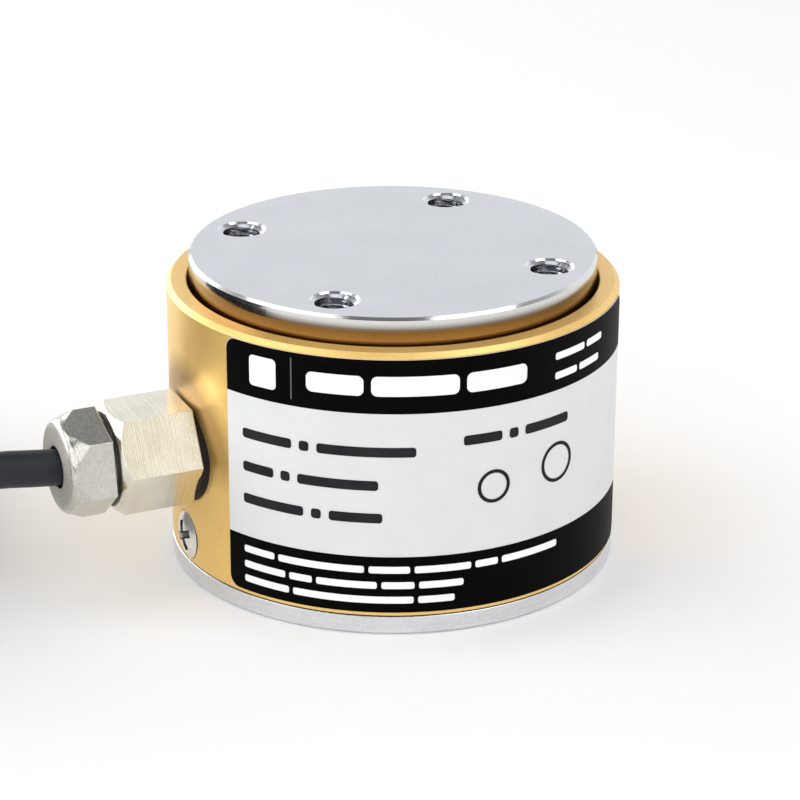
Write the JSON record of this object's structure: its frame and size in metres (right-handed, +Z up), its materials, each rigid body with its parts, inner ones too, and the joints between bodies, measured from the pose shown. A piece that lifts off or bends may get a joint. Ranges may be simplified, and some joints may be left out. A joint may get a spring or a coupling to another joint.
{
  "type": "force torque sensor",
  "caption": "Round multi-axis load cell with a bolt-on top plate over a gold cover sleeve, a base flange, a printed label, a brass cable gland and a coiled cable.",
  "frame": {"origin": "centre of the underside of the base flange, where the base bolt pattern is centred", "axes": "+Z up from the base to the top mounting plate; the cable gland points along -X"},
  "size_m": [0.1421, 0.0961, 0.035],
  "materials": {
    "flange_silver": "satin turned",
    "sleeve_gold": "gold anodised, fine satin",
    "plate_steel": "matt ground top face, polished side",
    "element_steel": "machined",
    "screw_steel": "bright zinc plated",
    "gland_nickel": "nickel plated",
    "plain_brass": "machined",
    "black_rubber": "matt",
    "label_foil": "satin printed foil",
    "cable_jacket": "satin",
    "tie_nylon": "matt",
    "board_green": "solder mask",
    "gauge_foil": "polyimide foil",
    "spacer_nylon": "plain",
    "wire_red": "gloss insulation"
  },
  "bodies": {
    "root": {"base_flange": "flange_silver", "bottom_cover": "flange_silver", "base_seal": "black_rubber", "sleeve": "sleeve_gold", "sleeve_screws": "screw_steel", "label": "label_foil", "elastic_element": "element_steel", "rim_screws": "screw_steel", "rim_dowels": "screw_steel", "hub_screw": "screw_steel", "hub_dowels": "screw_steel", "top_plate": "plate_steel", "strain_gauges": "gauge_foil", "terminal_board": "board_green", "board_spacers": "spacer_nylon", "board_screws": "screw_steel", "signal_leads": "wire_red", "gland_body": "gland_nickel", "gland_washer": "black_rubber", "gland_locknut": "plain_brass", "gland_seal": "black_rubber", "gland_ring": "plain_brass", "gland_nut": "gland_nickel", "cable_lead": "cable_jacket", "cable_coil": "cable_jacket", "coil_ties": "tie_nylon", "cable_tail": "cable_jacket", "tail_sleeve": "black_rubber", "tail_cores": "wire_red"}
  },
  "joints": []
}
